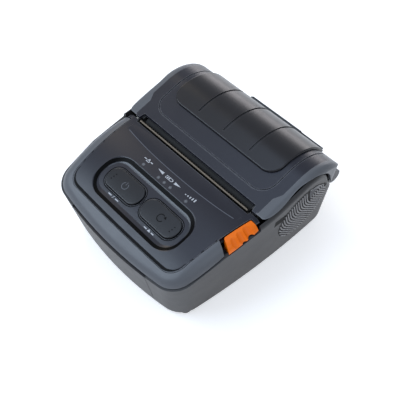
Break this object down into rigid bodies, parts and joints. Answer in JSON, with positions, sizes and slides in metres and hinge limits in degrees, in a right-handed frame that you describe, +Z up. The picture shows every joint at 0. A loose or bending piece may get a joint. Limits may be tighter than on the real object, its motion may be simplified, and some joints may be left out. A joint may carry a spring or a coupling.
{
  "type": "portable thermal receipt printer",
  "caption": "Portable thermal receipt printer: hinged paper cover over a roll bay, platen and print head, key panel, orange cover release and a removable battery pack",
  "frame": {"origin": "middle of the outer box, on the surface that the feet stand on", "axes": "+X to the side with the cover release, +Y to the rear hinge, +Z up"},
  "size_m": [0.1074, 0.126, 0.0585],
  "materials": {
    "case_dark": "warm dark grey moulded plastic, fine texture",
    "frame_grey": "mid blue-grey moulded plastic, satin",
    "panel_black": "very dark blue-grey satin plastic",
    "gloss_black": "very dark blue-grey glossy plastic",
    "key_black": "dark satin keycap with pale symbol",
    "orange": "bright orange plastic",
    "clear_window": "milky light pipe",
    "blade": "plain stamped steel",
    "steel": "turned or stamped steel",
    "sink": "milled aluminium",
    "ceramic": "glazed ceramic heating strip",
    "rubber": "black moulded rubber",
    "inner_black": "black moulded plastic",
    "bearing": "natural acetal",
    "gear": "natural acetal",
    "board": "green circuit board",
    "part_black": "moulded electronic part",
    "cell": "blue sleeve",
    "brass": "gilt contact"
  },
  "bodies": {
    "base": {"lower_housing": "case_dark", "upper_frame": "frame_grey", "control_panel": "panel_black", "indicator_windows": "clear_window", "indicator_leds": "clear_window", "tact_switches": "part_black", "key_board": "board", "main_board": "board", "usb_socket": "steel", "dc_socket": "part_black", "lever_pin": "steel", "mechanism_frame": "inner_black", "tear_bar": "blade", "head_pivot_pin": "steel", "head_springs": "steel", "paper_bucket": "inner_black", "paper_sensor": "part_black", "idler_axle": "steel", "feed_motor": "steel", "hinge_pins": "steel", "battery_contacts": "brass", "rubber_feet": "rubber", "case_screws": "steel"},
    "power_button": {"power_button": "key_black"},
    "feed_button": {"feed_button": "key_black"},
    "release_latch": {"release_latch": "orange"},
    "lock_lever": {"lock_lever": "steel"},
    "print_head": {"print_head": "ceramic", "head_heat_sink": "sink"},
    "idler": {"idler_gear": "gear"},
    "pinion": {"motor_pinion": "brass"},
    "lid": {"lid_shell": "panel_black", "lid_band_left": "frame_grey", "lid_band_right": "frame_grey", "lid_hump": "gloss_black", "lid_inner_frame": "inner_black", "lid_catch": "steel", "platen_bushes": "bearing"},
    "platen": {"platen_roller": "rubber", "platen_shaft": "steel", "platen_gear": "gear"},
    "battery": {"battery_cap": "case_dark", "battery_case": "inner_black", "battery_cells": "cell"},
    "port_cover": {"port_cover": "rubber"}
  },
  "joints": [
    {"name": "power_press", "type": "slide", "parent": "base", "child": "power_button", "axis": [0, 0.252, -0.9677], "range_m": [0, 0.0006], "stiffness_N_per_m": 800, "springref_m": -0.0006},
    {"name": "feed_press", "type": "slide", "parent": "base", "child": "feed_button", "axis": [0, 0.252, -0.9677], "range_m": [0, 0.0006], "stiffness_N_per_m": 800, "springref_m": -0.0006},
    {"name": "latch_slide", "type": "slide", "parent": "base", "child": "release_latch", "axis": [0, -1, 0], "range_m": [0, 0.002], "stiffness_N_per_m": 400, "springref_m": -0.001},
    {"name": "lever_turn", "type": "hinge", "parent": "base", "child": "lock_lever", "pos_m": [0.0459, -0.008, 0.022], "axis": [1, 0, 0], "range_deg": [0, 8.4]},
    {"name": "head_rock", "type": "hinge", "parent": "base", "child": "print_head", "pos_m": [0, -0.0062, 0.034], "axis": [1, 0, 0], "range_deg": [0, 1.2], "stiffness_Nm_per_rad": 5, "springref_deg": -1.15},
    {"name": "lid_open", "type": "hinge", "parent": "base", "child": "lid", "pos_m": [0, 0.0587, 0.026], "axis": [-1, 0, 0], "range_deg": [0, 100]},
    {"name": "platen_spin", "type": "hinge", "parent": "lid", "child": "platen", "pos_m": [0, 0.0014, 0.042], "axis": [1, 0, 0], "continuous": true},
    {"name": "idler_spin", "type": "hinge", "parent": "base", "child": "idler", "pos_m": [-0.0461, -0.00277, 0.02707], "axis": [1, 0, 0], "continuous": true},
    {"name": "pinion_spin", "type": "hinge", "parent": "base", "child": "pinion", "pos_m": [-0.0461, -0.00094, 0.0142], "axis": [1, 0, 0], "continuous": true},
    {"name": "battery_slide", "type": "slide", "parent": "base", "child": "battery", "axis": [0, -1, 0], "range_m": [0, 0.05]},
    {"name": "port_cover_turn", "type": "hinge", "parent": "base", "child": "port_cover", "pos_m": [-0.04852, -0.03565, 0.02655], "axis": [0.0681, -0.9977, 0], "range_deg": [0, 95]}
  ],
  "couplings": [
    {"joint": "idler_spin", "follows": "platen_spin", "ratio": -0.55},
    {"joint": "pinion_spin", "follows": "platen_spin", "ratio": 1.8333},
    {"joint": "lever_turn", "follows": "latch_slide", "rad_per_m": 71.5}
  ]
}
